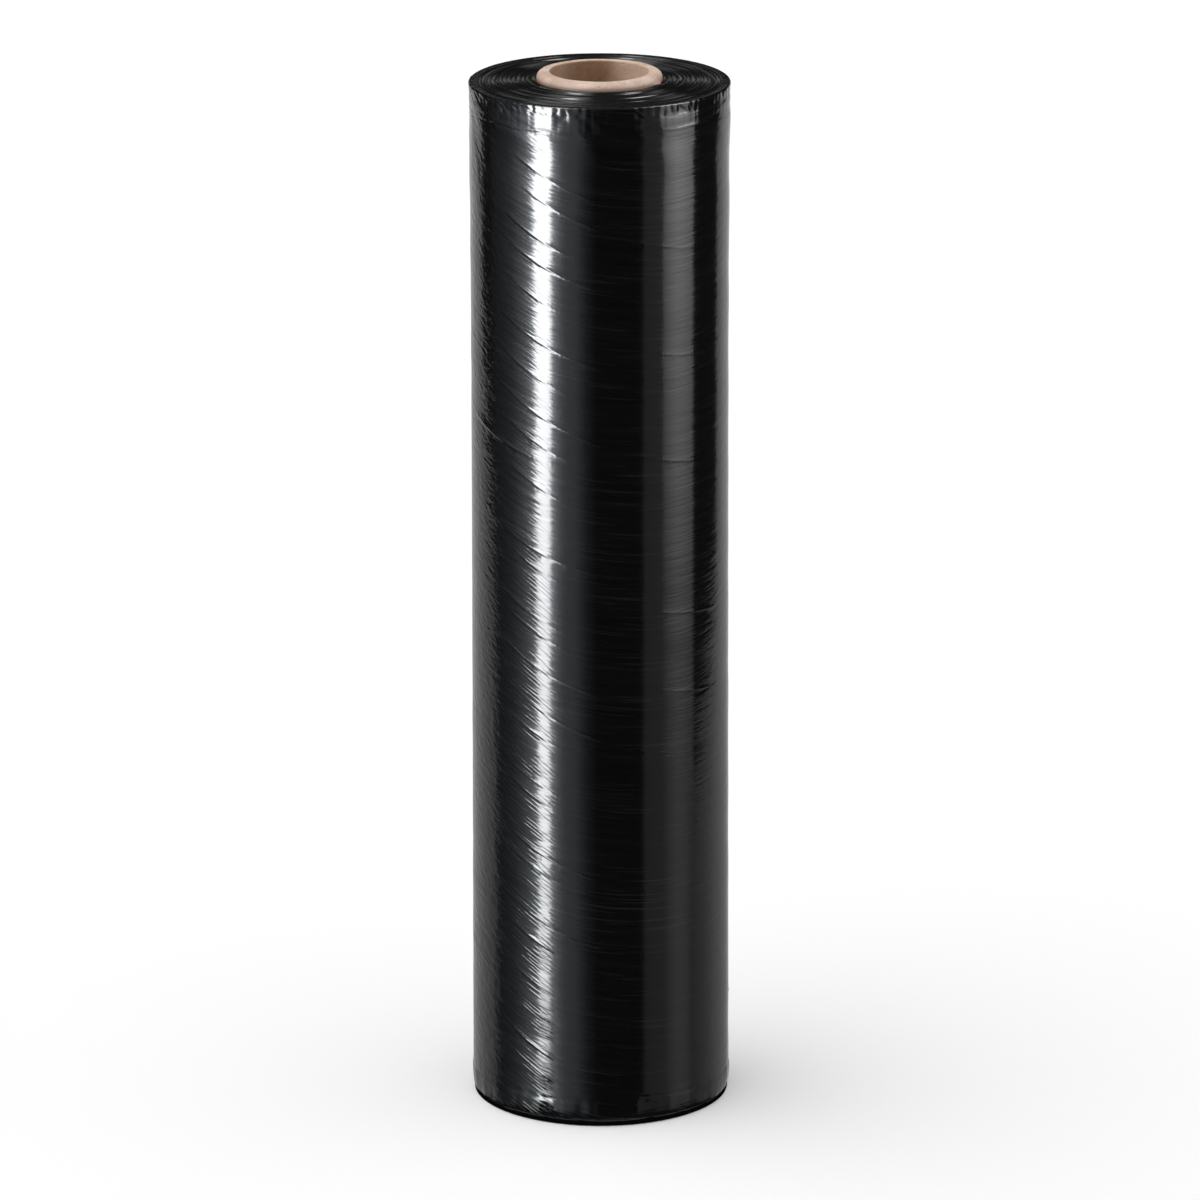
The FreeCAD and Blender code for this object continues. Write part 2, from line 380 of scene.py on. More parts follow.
# ------------------------------------------------------------------------------------------
# The last turns: the smooth outer group of film, pulled over both edges of the roll. Winding
# tension gathers it into puckered bands at the edges and long slanting creases between.
# ------------------------------------------------------------------------------------------
LAST_TURN = 49.9 * MM  # radius of the plain side
SIDE_COLUMNS = 164
RIM_ROUND = 0.6 * MM
LIP_ROUND = 0.8 * MM
TOP_BAND = 9.7 * MM  # height of the gathered band under the rim
TOP_SWELL = 0.30 * MM  # how far that band stands out
FLARE = 0.25 * MM  # growth in radius towards the upper end
FLARE_HEIGHT = 96 * MM
BASE_BAND = 10.4 * MM  # height of the gathered band at the foot
BASE_LIP = 1.1 * MM  # how far that band turns out
SETTLED = 0.84 * MM  # the roll is a little fuller towards its foot, where the film has settled
SETTLED_HEIGHT = 310 * MM
WINDING_LINE = 4.1 * MM  # how far below the rim the film is drawn in
BAND_CREST = 9.8 * MM  # how far below the rim the plain side begins
SLACK_WAVES = 46
PULLS = 26
PLEATS = 120
DENTS = 200
BACK_CREASES = 14
FREE_END_ANGLE = 2.50  # radians from the front to where the web ends, at the back
FILM_BLACK = ((0.0010, 0.0010, 0.0012, 1), (0.0030, 0.0030, 0.0034, 1))
# Pale streak colour: a painted reflection along the ripples.
PAINTED_STREAK_SHEEN = (0.012, 0.012, 0.0125, 1)

# Long creases: angle in degrees and height in mm where each starts, the degrees that it runs
# round the roll, and its rise in mm.
LONG_CREASES = [
    (-42, 389, 44, 0.12),
    (-38, 377, 92, 0.14),
    (-46, 365, 40, 0.15),
    (-50, 357, 62, 0.14),
    (-46, 341, 34, 0.09),
    (-52, 327, 92, 0.10),
    (-48, 311, 38, 0.11),
    (-49, 297, 118, 0.12),
    (-46, 284, 40, 0.10),
    (-44, 266, 32, 0.09),
    (-66, 249, 104, 0.11),
    (-44, 233, 30, 0.08),
    (-50, 216, 38, 0.10),
    (-46, 208, 34, 0.09),
    (-50, 196, 60, 0.13),
    (-42, 176, 92, 0.12),
    (-48, 168, 32, 0.16),
    (-50, 149, 34, 0.11),
    (-46, 141, 28, 0.13),
    (-49, 121, 76, 0.15),
    (-50, 114, 34, 0.20),
    (-47, 93, 70, 0.14),
    (-47, 83, 30, 0.20),
    (-44, 64, 26, 0.13),
    (-45, 38, 26, 0.22),
    (-43, 28, 24, 0.16),
    (20, 312, 52, 0.09),
    (22, 209, 46, 0.10),
    (26, 177, 38, 0.08),
    (4, 120, 56, 0.06),
    (10, 92, 52, 0.06),
]


def smooth(value, low, high):
    """0 below low, 1 above high, and a soft step between."""
    t = np.clip((value - low) / (high - low), 0, 1)
    return t * t * (3 - 2 * t)


def crease_set():
    """All creases: start angle, start height, sweep, rise, first slope and loss of slope."""
    rng = np.random.default_rng(5)
    found = []
    for start, height, sweep, rise in LONG_CREASES:
        steep = 0.62 if start < 0 else 0.20
        loss = 0.0062 if start < 0 else 0.0040
        found.append((start, height * MM, sweep, rise * MM, steep, min(loss, steep / sweep)))

    # The side away from the front has creases of the same kind, spread evenly.
    for i in range(BACK_CREASES):
        start = 78 + (i * 97.0) % 195
        height = 34 + (i * 61.8 + rng.uniform(0, 12)) % 345
        sweep = rng.uniform(30, 70)
        rise = rng.uniform(0.10, 0.24)
        found.append((start, height * MM, sweep, rise * MM, 0.42, 0.003))
    return found


def crease_line(crease, angle):
    """Degrees past the crease's start, and its height at each of them."""
    start, height, sweep, _, steep, loss = crease
    past = degrees_past(angle, start)
    run = np.clip(past, 0, sweep)
    drop = LAST_TURN * np.radians(steep * run - loss * run * run / 2)
    return past, height - drop


def crease_relief(creases, angle, height):
    """How far the creases lift the film: a long face that steepens to a crest, then a drop."""
    total = np.zeros(angle.shape)
    for number, crease in enumerate(creases):
        past, centre = crease_line(crease, angle)
        sweep, rise = crease[2], crease[3]
        length = np.clip(past / sweep, 0, 1)
        fading = np.sin(math.pi * length**0.7) * (0.8 + 0.2 * np.sin(9 * length + number))
        away = (height - centre) / MM

        # Widths in mm of the face above the crest and of the drop below it, slimmer low down.
        slender = 1 - 0.35 * (1 - smooth(height, 170 * MM, 230 * MM))
        upper = (1.0 + 5.0 * rise / MM) * slender
        lower = (0.72 + 0.9 * rise / MM) * slender
        face = np.clip(1 - away / upper, 0, 1) ** 2.2
        drop = 1 - 1.3 * smooth(-away, 0, lower)
        hollow = -0.30 * (1 - smooth(-away, lower, lower + 1.6))
        ridge = np.where(away > 0, face, np.where(away < -lower, hollow, drop))
        total += np.where((past > 0) & (past < sweep), rise * fading * ridge, 0)
    return total


def slack(angle, height):
    """The long, low waves of film that lies a little slack on the turn below."""
    rng = np.random.default_rng(3)
    total = np.zeros(angle.shape)
    for _ in range(SLACK_WAVES):
        wave = rng.uniform(9, 40) * MM
        fall = rng.uniform(0.05, 0.5)
        upright = 2 * math.pi / wave
        around = round(fall * LAST_TURN * upright)
        size = 0.0003 * wave * rng.uniform(0.5, 1.2)
        total += size * np.cos(around * angle + upright * height + rng.uniform(0, 2 * math.pi))
    looser = 1 + 3 * smooth(height, FILM_TOP - 60 * MM, FILM_TOP - 15 * MM)
    return total * looser


def pulls(angle, height):
    """Broad low folds that run down from the gathered rim, the way the web was pulled."""
    rng = np.random.default_rng(21)
    total = np.zeros(angle.shape)
    from_top = FILM_TOP - height
    for i in range(PULLS):
        centre = i * 360 / PULLS + rng.uniform(-6, 6)
        long = rng.uniform(18, 46) * MM
        lean = rng.uniform(0.5, 1.1)
        wide = rng.uniform(1.8, 3.6) * MM
        deep = rng.uniform(0.08, 0.22) * MM * (1 if rng.random() < 0.6 else -1)
        past = np.radians(degrees_past(angle, centre))
        across = past * LAST_TURN - lean * from_top + 0.25 * lean * from_top**2 / long
        along = np.clip(from_top / long, 0, 1)
        total += deep * np.sin(math.pi * along**0.7) * np.exp(-((across / wide) ** 2))
    return total


def puckers(angle, height):
    """Pleats, dents and drawn-in lines of the gathered bands at both edges."""
    rng = np.random.default_rng(8)
    total = np.zeros(angle.shape)
    from_top = FILM_TOP - height

    # The film is drawn in along a line close under the rim. Below that line it comes out again,
    # steeper and steeper, up to the crest where the plain side begins.
    wander = 0.30 * np.sin(3 * angle + 1) + 0.22 * np.sin(8 * angle) + 0.16 * np.sin(19 * angle + 2)
    drawn = 0.5 + 0.5 * np.sin(4 * angle + 0.6) * np.sin(11 * angle + 1.1)
    line = WINDING_LINE + wander * MM
    total -= (0.03 + 0.06 * drawn) * MM * np.exp(-(((from_top - line) / (1.0 * MM)) ** 2))
    uneven = 0.5 + 0.5 * np.cos(5 * angle + 2.8)
    crest = BAND_CREST + 1.2 * wander * MM
    hollow = 1 - np.clip((from_top - line) / (crest - line), 0, 1) ** 2.8
    hollow *= 0.25 + 0.75 * smooth(from_top, 0, line)
    total -= (0.05 + 0.34 * uneven) * MM * hollow
    total += 0.05 * MM * np.exp(-(((from_top - crest) / (0.9 * MM)) ** 2))
    tucked = (0.07 - 0.06 * np.sin(angle)) * MM
    total -= tucked * np.exp(-(((from_top - crest - 0.9 * MM) / (0.5 * MM)) ** 2))

    # Fine upright gathers run the whole band, strongest over the rim.
    gathered = np.sin(97 * angle + 1.6 * np.sin(7 * angle))
    gathered += 0.7 * np.sin(61 * angle + 2 * np.sin(5 * angle) + 2)
    gathered *= 1 + 2.0 * (1 - smooth(from_top, line - 1.0 * MM, line + 0.5 * MM))
    total += 0.012 * MM * gathered * (1 - smooth(from_top, crest - 1.0 * MM, crest + 0.2 * MM))

    # Pleats that run down from the rim, most of them leaning the way the web was wound.
    for _ in range(PLEATS):
        centre = rng.uniform(-180, 180)
        above = rng.uniform(-1.0, 2.0) * MM
        long = rng.uniform(2.0, 5.0) * MM
        lean = rng.uniform(0.25, 1.5) if rng.random() < 0.75 else rng.uniform(-1.0, 0.2)
        deep = rng.uniform(-0.24, 0.14) * MM
        wide = rng.uniform(0.6, 1.3) * MM
        past = np.radians(degrees_past(angle, centre))
        down = from_top - above
        along = np.clip(down / long, 0, 1)
        across = (past * LAST_TURN - lean * down) / wide
        total += deep * np.sin(math.pi * along) * np.exp(-(across**2))

    # Shallow dents, in both bands.
    for _ in range(DENTS):
        upper = rng.random() < 0.6
        centre = rng.uniform(-180, 180)
        if upper:
            level = FILM_TOP - rng.uniform(0.8, 8.5) * MM
        else:
            level = FILM_BASE + rng.uniform(1, 11) * MM
        wide = rng.uniform(1.6, 5.0) * MM / LAST_TURN
        tall = rng.uniform(0.9, 2.4) * MM
        deep = rng.uniform(-0.17, 0.10) * MM * (1.0 if upper else 0.6)
        lean = rng.uniform(-0.6, 0.8)
        past = np.radians(degrees_past(angle, centre))
        shift = (height - level) + lean * past * LAST_TURN
        total += deep * np.exp(-((past / wide) ** 2) - (shift / tall) ** 2)
    return total


def side_profile():
    """Half section of the last turns: up the outside, over the rim and down the inside."""
    lip = LAST_TURN + BASE_LIP - 0.45 * MM
    rim = LAST_TURN + FLARE + TOP_SWELL
    under = [(r, FILM_BASE) for r in np.linspace(FOOT_RADIUS - 1.0 * MM, lip - LIP_ROUND, 3)]
    corner = arc((lip - LIP_ROUND, FILM_BASE + LIP_ROUND), LIP_ROUND, -75, 0, 7)
    heights = np.concatenate(
        [
            np.linspace(FILM_BASE + LIP_ROUND + 0.3 * MM, FILM_BASE + BASE_BAND + 2 * MM, 28),
            np.linspace(FILM_BASE + BASE_BAND + 4 * MM, FILM_TOP - TOP_BAND - 4 * MM, 110),
            np.linspace(FILM_TOP - TOP_BAND - 2.5 * MM, FILM_TOP - RIM_ROUND, 36),
        ]
    )
    flare = FLARE * smooth(heights, FILM_TOP - FLARE_HEIGHT, FILM_TOP - TOP_BAND)
    swell = TOP_SWELL * smooth(heights, FILM_TOP - TOP_BAND, FILM_TOP - TOP_BAND * 0.6)
    fuller = SETTLED * np.clip(1 - heights / SETTLED_HEIGHT, 0, 1) ** 1.3
    turned = (BASE_LIP - fuller) * (1 - smooth(heights, FILM_BASE + 7 * MM, FILM_BASE + BASE_BAND))
    curled = 0.55 * MM * np.clip((FILM_BASE + 6 * MM - heights) / (6 * MM), 0, 1) ** 2
    side = list(zip(LAST_TURN + flare + swell + fuller + turned - curled, heights))
    crown = arc((rim - RIM_ROUND, FILM_TOP - RIM_ROUND), RIM_ROUND, 12, 90, 8)
    top = [(r, FILM_TOP) for r in np.linspace(rim - RIM_ROUND, RIM_INSIDE, 12)[1:]]
    inside = [(RIM_INSIDE, FILM_TOP - 3 * MM), (RIM_INSIDE, FILM_BASE + 6 * MM)]
    inside += [(FOOT_RADIUS - 1 * MM, FILM_BASE + 1 * MM)]
    return np.array(under + corner + side + crown + top + inside)


def is_upright(edge):
    """Whether an edge of the mesh climbs more than it runs round."""
    return abs(edge.verts[0].co.z - edge.verts[1].co.z) > 0.6 * edge.calc_length()


def refined(grid, creases, above, below, cut_round, cut_upright, first=-180, last=180):
    """Makes the mesh finer along the creases, from above them to below them.

    cut_round cuts all edges there, and cut_upright only the upright ones.
    """
    middles = np.array([face.calc_center_median() for face in grid.faces])
    angle = np.arctan2(middles[:, 0], -middles[:, 1])
    near = np.zeros(len(middles), bool)
    for crease in creases:
        past, centre = crease_line(crease, angle)
        away = middles[:, 2] - centre
        near |= (away < above) & (away > -below) & (past > 0) & (past < crease[2])
    near &= np.hypot(middles[:, 0], middles[:, 1]) > LAST_TURN - 0.3 * MM
    near &= (np.degrees(angle) > first) & (np.degrees(angle) < last)
    chosen = [face for face, flag in zip(grid.faces, near) if flag]
    edges = {edge for face in chosen for edge in face.edges}
    if cut_round:
        bmesh.ops.subdivide_edges(grid, edges=list(edges), cuts=cut_round, use_grid_fill=True)
    if cut_upright:
        upright = [edge for edge in edges if is_upright(edge)]
        bmesh.ops.subdivide_edges(grid, edges=upright, cuts=cut_upright, use_grid_fill=True)


def finer_bands(grid):
    """Makes the columns of the mesh finer in the gathered bands, most of all under the rim."""
    at_foot, at_rim = [], []
    for edge in grid.edges:
        first, second = (vertex.co for vertex in edge.verts)
        level = abs(first.z - second.z) < 0.1 * MM and first.xy.length > LAST_TURN - 1.0 * MM
        if not level or (first.xy - second.xy).length <= 1 * MM:
            continue
        if first.z < FILM_BASE + BASE_BAND + 1.5 * MM:
            at_foot.append(edge)
        elif first.z > FILM_TOP - TOP_BAND - 2 * MM:
            at_rim.append(edge)
    bmesh.ops.subdivide_edges(grid, edges=at_foot, cuts=1, use_grid_fill=True)
    bmesh.ops.subdivide_edges(grid, edges=at_rim, cuts=3, use_grid_fill=True)


def side_relief(creases, angle, level, span):
    """How far each point of the side is lifted or pressed in by the film's own relief."""
    on_side = smooth(span, LAST_TURN - 0.9 * MM, LAST_TURN - 0.2 * MM)
    plain = smooth(level, FILM_BASE + 8 * MM, FILM_BASE + 16 * MM)
    plain *= 1 - smooth(level, FILM_TOP - 14 * MM, FILM_TOP - 7 * MM)
    lift = plain * (slack(angle, level) + pulls(angle, level) + crease_relief(creases, angle, level))
    to_edge = np.minimum(FILM_TOP - level, level - FILM_BASE)
    lift += on_side * puckers(angle, level) * (1 - smooth(to_edge, 12 * MM, 15 * MM))

    # The lip at the foot is wavy.
    lip_wave = 0.16 * MM * np.sin(7 * angle + 1)
    lip_wave += 0.12 * MM * np.sin(13 * angle)
    lip_wave += 0.10 * MM * np.sin(23 * angle + 2)
    lip_wave += 0.05 * MM * np.sin(41 * angle + 3 * np.sin(2 * angle))
    lip_wave += 0.03 * MM * np.sin(67 * angle + 2)
    lift += on_side * lip_wave * (1 - smooth(level, FILM_BASE + 3 * MM, FILM_BASE + 12 * MM))

    # The band at the foot begins with a low ridge over a groove.
    drawn = level - FILM_BASE - BASE_BAND - 0.4 * MM * np.sin(5 * angle)
    lift += on_side * 0.06 * MM * np.exp(-((drawn / (0.9 * MM)) ** 2))
    lift -= on_side * 0.09 * MM * np.exp(-(((drawn + 1.7 * MM) / (0.8 * MM)) ** 2))
    return on_side * np.minimum(lift, np.maximum(film_high.x + 0.2 * MM - span, 0))


def make_last_turns():
    profile = side_profile()
    radius = np.repeat(profile[:, :1], SIDE_COLUMNS, axis=1)
    height = np.repeat(profile[:, 1:], SIDE_COLUMNS, axis=1)
    piece = ring_mesh("last_turns", radius, height)
    creases = crease_set()
    grid = bmesh.new()
    grid.from_mesh(piece.data)
    refined(grid, creases, 2.6 * MM, 2.2 * MM, 1, 0)
    refined(grid, creases, 1.4 * MM, 1.1 * MM, 0, 1)
    refined(grid, creases, 0.5 * MM, 0.8 * MM, 1, 0, -85, 85)
    refined(grid, creases, 0.25 * MM, 0.55 * MM, 0, 1, -85, 85)
    finer_bands(grid)
    grid.to_mesh(piece.data)
    grid.free()

    # Every point of the side is then lifted or pressed in by the film's own relief.
    mesh = piece.data
    points = np.empty(len(mesh.vertices) * 3)
    mesh.vertices.foreach_get("co", points)
    points = points.reshape(-1, 3)
    angle = np.arctan2(points[:, 0], -points[:, 1])
    span = np.hypot(points[:, 0], points[:, 1])
    level = points[:, 2].copy()
    scale = (span + side_relief(creases, angle, level, span)) / span
    points[:, 0] *= scale
    points[:, 1] *= scale

    # The top of the rim shows the last turns as low ripples, and sinks a little inwards.
    rim_top = (level > FILM_TOP - 0.05 * MM) & (span < LAST_TURN - 0.2 * MM)
    ripple = 0.05 * MM * np.sin(2 * math.pi * (span + 0.25 * MM * np.sin(angle)) / (1.15 * MM))
    sunk = 0.10 * MM * smooth(LAST_TURN - span, 0, 2.4 * MM)
    points[:, 2] += rim_top * (ripple - 0.05 * MM - sunk)
    mesh.vertices.foreach_set("co", points.ravel())
    mesh.update()
    mesh.shade_smooth()
    return piece


def stretch_film():
    """Black stretch film: glossy, with pale streaks painted in as reflection, and fine ripples that
    run along the creases.
    """
    material, add = new_finish("stretch_film")
    place = add("TexCoord")["Object"]
    x, y, z = add("SeparateXYZ", Vector=place)

    def leaning(lean):
        """Height above a plane through the middle that leans by (x, y) metres in each metre."""
        return add("VectorMath", {"operation": "DOT_PRODUCT"}, i0=place, i1=(*lean, 1.0))["Value"]

    def streaks(lean, along, across, detail):
        """Noise drawn out along leaning planes; along and across are its counts in a metre."""
        vector = add(
            "CombineXYZ",
            X=times(add, x, along),
            Y=times(add, y, along),
            Z=times(add, leaning(lean), across),
        )["Vector"]
        return add("TexNoise", Vector=vector, Scale=1.0, Detail=detail, Roughness=0.5)["Fac"]

    def folds(lean, pitch, length, least, seed):
        """Small folds along leaning planes: their ridges, and the pinched lines just above."""
        lower_face = 0.58  # share of the pitch
        wander = streaks(lean, 9.0, 62.0, 1.0)
        phase = maths(add, "MULTIPLY_ADD", leaning(lean), 1 / pitch, times(add, wander, 5.0))
        part = maths(add, "FRACT", phase)
        number = maths(add, "SUBTRACT", phase, part)
        rising = maths(add, "DIVIDE", part, lower_face)
        falling = maths(add, "DIVIDE", maths(add, "SUBTRACT", 1.0, part), 1 - lower_face)
        ridge = fade(add, maths(add, "MINIMUM", rising, falling), 0.0, 1.0)

        # Each fold has a noise of its own, so that it comes and goes along its length.
        own = add(
            "CombineXYZ",
            X=maths(add, "DIVIDE", x, length),
            Y=maths(add, "DIVIDE", y, length),
            Z=maths(add, "MULTIPLY_ADD", number, 5.3, seed),
        )["Vector"]
        own = add("TexNoise", Vector=own, Scale=1.0, Detail=1.0)["Fac"]
        own = fade(add, own, least, least + 0.30)
        from_pinch = maths(add, "ABSOLUTE", maths(add, "SUBTRACT", part, 0.80))
        pinch = fade(add, from_pinch, 0.02, 0.17, 1.0, 0.0)
        return times(add, ridge, own), times(add, pinch, own)

    # The small folds fade towards the top of the roll, and are weaker away from its left side.
    ridges, pinches = folds((0.40, -0.42), 1.8 * MM, 10 * MM, 0.34, 0.0)
    small, _ = folds((0.40, -0.40), 1.6 * MM, 9 * MM, 0.40, 7.7)
    ridges = times(add, ridges, fade(add, z, 0.06, 0.26, 1.0, 0.06))
    pinches = times(add, pinches, fade(add, z, 0.12, 0.28, 1.0, 0.4))
    small = times(add, small, fade(add, z, 0.1, 0.3, 1.0, 0.5))
    relief = times(add, ridges, 0.018 * MM)
    relief = maths(add, "MULTIPLY_ADD", pinches, -0.032 * MM, relief)
    relief = maths(add, "MULTIPLY_ADD", small, 0.012 * MM, relief)
    relief = times(add, relief, fade(add, x, -21.5 * MM, -16.5 * MM, 1.0, 0.4))

    # Ripples of three kinds lie over all of it; the ragged ones are stronger at the sides.
    broad = streaks((0.18, -0.30), 30.0, 330.0, 1.0)
    fuzz = streaks((0.16, -0.34), 60.0, 1300.0, 1.0)
    ragged = streaks((0.20, -0.20), 260.0, 480.0, 2.0)
    both_sides = fade(add, maths(add, "ABSOLUTE", x), 34 * MM, 44 * MM, 0.25, 2.0)
    left_side = fade(add, x, -42 * MM, -34 * MM, 4.0, 0.0)
    ragged = times(add, ragged, maths(add, "ADD", both_sides, left_side))
    relief = maths(add, "MULTIPLY_ADD", broad, 0.09 * MM, relief)
    relief = maths(add, "MULTIPLY_ADD", fuzz, 0.045 * MM, relief)
    relief = maths(add, "MULTIPLY_ADD", ragged, 0.045 * MM, relief)

    # The free end of the web clings at the back: one fine, nearly upright step.
    angle = maths(add, "ARCTAN2", x, times(add, y, -1.0))
    stray = add("TexNoise", {"noise_dimensions": "1D"}, W=z, Scale=26.0, Detail=2.0)["Fac"]
    edge = maths(add, "MULTIPLY_ADD", stray, 0.16, FREE_END_ANGLE)
    past = maths(add, "SUBTRACT", angle, edge)
    step = times(add, fade(add, past, 0.0, 0.010), fade(add, past, 0.02, 0.42, 1.0, 0.0))
    relief = maths(add, "MULTIPLY_ADD", step, 0.04 * MM, relief)

    # The film is nearly black, with faint pale streaks painted into its colour as a painted
    # reflection along the ripples, a little stronger low down.
    painted_streaks = streaks((0.14, -0.20), 34.0, 1500.0, 1.0)
    painted_streaks = times(add, fade(add, painted_streaks, 0.55, 0.80), fade(add, z, 0.06, 0.20, 0.75, 0.6))
    shader = add(
        "BsdfPrincipled",
        Base_Color=mixed(add, painted_streaks, mixed(add, broad, *FILM_BLACK), PAINTED_STREAK_SHEEN),
        Roughness=fade(add, fuzz, 0.3, 0.7, 0.09, 0.15),
        Normal=bumped(add, relief),
    )
    add("OutputMaterial", Surface=shader["BSDF"])
    return material


last = make_last_turns()
last.data.materials.append(stretch_film())
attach(last, "root")
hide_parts("film_winding")


# ------------------------------------------------------------------------------------------
# The studio: a white floor and surround, a soft lamp at either side, and tall boxes and cards
# that stand round the roll and show only in its gloss.
# ------------------------------------------------------------------------------------------
FLOOR_REACH = 9
PAPER_WHITE = (0.84, 0.84, 0.84, 1)
WHITE = (1, 1, 1, 1)
PANEL_RING = 0.6  # radius of the ring that the boxes and cards stand on
COOL = (0.88, 0.94, 1.0)


def make_floor():
    """Matt white paper, a little brighter to the eye than its light makes it."""
    corners = [(-1, -1), (1, -1), (1, 1), (-1, 1)]
    mesh = bpy.data.meshes.new("studio_floor")
    mesh.from_pydata([(FLOOR_REACH * x, FLOOR_REACH * y, 0) for x, y in corners], [], [(0, 1, 2, 3)])
    floor = bpy.data.objects.new("studio_floor", mesh)
    bpy.context.scene.collection.objects.link(floor)
    material, add = new_finish("white_floor")
    paper = add("BsdfDiffuse", Color=PAPER_WHITE)["BSDF"]
    to_the_eye = times(add, add("LightPath")["Is Camera Ray"], 0.12)
    glow = add("Emission", Color=WHITE, Strength=to_the_eye)["Emission"]
    add("OutputMaterial", Surface=add("AddShader", i0=paper, i1=glow)["Shader"])
    mesh.materials.append(material)
    floor.visible_glossy = False
    return floor


make_floor()


def glow_ramp(add, value, stops):
    """A value turned into a glow by stops, each a place and the glow there."""
    low, high = stops[0][0], stops[-1][0]
    most = max(glow for _, glow in stops)
    share = add("MapRange", Value=value, From_Min=low, From_Max=high)["Result"]
    ramp = add("ValToRGB", Fac=share)["Color"]
    elements = ramp.node.color_ramp.elements
    while len(elements) < len(stops):
        elements.new(0.5)
    for element, (place, glow) in zip(elements, stops):
        element.position = (place - low) / (high - low)
        element.color = (glow / most, glow / most, glow / most, 1)
    return times(add, ramp, most)


def panel_mesh(name, first, last, base, top, lean):
    """A curved sheet on the ring, between two angles in degrees and two heights."""
    columns, rows = 30, 24
    left, right, high, low = lean
    points, faces = [], []
    for z in np.linspace(base, top, rows + 1):
        moved = 1 - smooth(z, low, high)
        ends = (first + left * moved, last + right * moved)
        for angle in np.radians(np.linspace(*ends, columns + 1)):
            points.append((PANEL_RING * math.sin(angle), -PANEL_RING * math.cos(angle), z))
    for k in range(rows * (columns + 1)):
        if k % (columns + 1) < columns:
            faces.append((k, k + 1, k + columns + 2, k + columns + 1))
    mesh = bpy.data.meshes.new(name)
    mesh.from_pydata(points, [], faces)
    place = mesh.uv_layers.new(name="place").data
    for loop in mesh.loops:
        row, column = divmod(loop.vertex_index, columns + 1)
        place[loop.index].uv = (column / columns, row / rows)
    return mesh


def panel(name, across, upward, colour=(1, 1, 1), lean=(0, 0, 1, 0)):
    """A curved glowing panel round the roll, seen in gloss alone.

    across gives the glow at angles round the roll, and upward the share of it at heights.
    lean says by how many degrees the left and right edges have moved at the lower of two heights,
    and gives the upper and the lower height.
    """
    first, last = across[0][0], across[-1][0]
    mesh = panel_mesh(name, first, last, upward[0][0], upward[-1][0], lean)
    piece = bpy.data.objects.new(name, mesh)
    bpy.context.scene.collection.objects.link(piece)
    material, add = new_finish(name)
    share = add("SeparateXYZ", Vector=add("UVMap")["UV"])["X"]
    z = add("SeparateXYZ", Vector=add("TexCoord")["Object"])["Z"]
    angle = maths(add, "MULTIPLY_ADD", share, last - first, first)
    glow = times(add, glow_ramp(add, angle, across), glow_ramp(add, z, upward))
    add("OutputMaterial", Surface=add("Emission", Color=(*colour, 1), Strength=glow)["Emission"])
    mesh.materials.append(material)
    piece.visible_camera = False
    piece.visible_diffuse = False
    piece.visible_shadow = False


# A tall strip box at the front left makes the long highlight, and its skirt the glow beside it.
panel(
    "strip_box",
    [(-59.8, 5), (-57.4, 31), (-43.2, 31), (-40.5, 4)],
    [
        (-0.20, 0.0),
        (-0.17, 0.30),
        (-0.10, 0.66),
        (0.06, 0.70),
        (0.28, 1.0),
        (0.33, 1.0),
        (0.42, 0.55),
        (1.8, 0.55),
    ],
    (0.96, 0.98, 1.0),
    lean=(4.3, -3.1, 0.24, -0.02),
)
panel(
    "strip_skirt",
    [(-108, 0.1), (-95.6, 0.2), (-87.8, 0.32), (-80.8, 0.55), (-74, 1.1), (-67.6, 1.9), (-59.8, 4.2)],
    [(-0.30, 0.45), (-0.09, 0.6), (0.06, 0.55), (0.28, 1.0), (1.8, 1.0)],
    COOL,
    lean=(0, 4.3, 0.24, -0.02),
)
panel(
    "left_fill",
    [(-41, 4), (-33, 1.4), (-28, 0.95), (-21, 0.85), (-16, 0.5), (-11, 0.2), (-5, 0.08)],
    [(-0.30, 0.72), (0.06, 0.82), (0.28, 1.0), (0.40, 1.0), (0.46, 2.0), (1.8, 2.0)],
    (0.88, 0.93, 1.0),
    lean=(-3.1, 0, 0.24, -0.02),
)
panel("front_shelf", [(-11, 0.08), (-5, 0.22), (36, 0.22)], [(0.40, 0.0), (0.45, 1.0), (1.8, 1.0)])

# A card at the right, dimmer towards the floor, with a shelf of faint light beside it.
panel(
    "right_shelf",
    [(36, 0.04), (39, 0.3), (56, 0.34)],
    [(-0.3, 0.8), (0.28, 1.0), (0.40, 1.0), (0.46, 2.4), (1.8, 2.4)],
)
panel(
    "right_card",
    [(56, 1.6), (63, 2.8), (70, 3.6), (77, 3.2), (83, 2.5), (88, 2.0)],
    [
        (-0.3, 0.14),
        (-0.09, 0.18),
        (0, 0.2),
        (0.06, 0.31),
        (0.1, 0.45),
        (0.2, 0.67),
        (0.28, 1),
        (0.34, 1.1),
        (0.42, 3),
        (1.8, 3),
    ],
    (1, 0.99, 0.98),
)

# Boards behind the roll light its two outlines and the far side of its upper end.
panel(
    "back_left",
    [(-205, 0.5), (-150, 0.5), (-129, 0.45), (-126, 0.2)],
    [(-0.3, 0.85), (-0.1, 1.08), (0.06, 1.25), (0.15, 1.2), (0.25, 1.5), (0.3, 1.5)],
    lean=(0, 24, 0.2, 0.0),
)
panel(
    "back_right",
    [(124, 0.45), (140, 0.72), (155, 0.6)],
    [(-0.3, 0.48), (-0.05, 0.68), (0.06, 0.85), (0.3, 1.0)],
    lean=(-40, 0, 0.08, -0.06),
)
panel(
    "far_wall",
    [(140, 0.15), (156, 0.38), (170, 0.34), (180, 0.16), (190, 0.34), (204, 0.38), (220, 0.15)],
    [(0.37, 0.6), (0.42, 1.0), (0.5, 0.8), (0.52, 0.0)],
)

SKY = 0.60  # light of the white surround on the object
MIRRORED = 0.03  # what gloss sees between the boxes
OVERHEAD = 0.15  # what it sees straight above
GROUND_GLOW = 0.6  # what it sees straight below

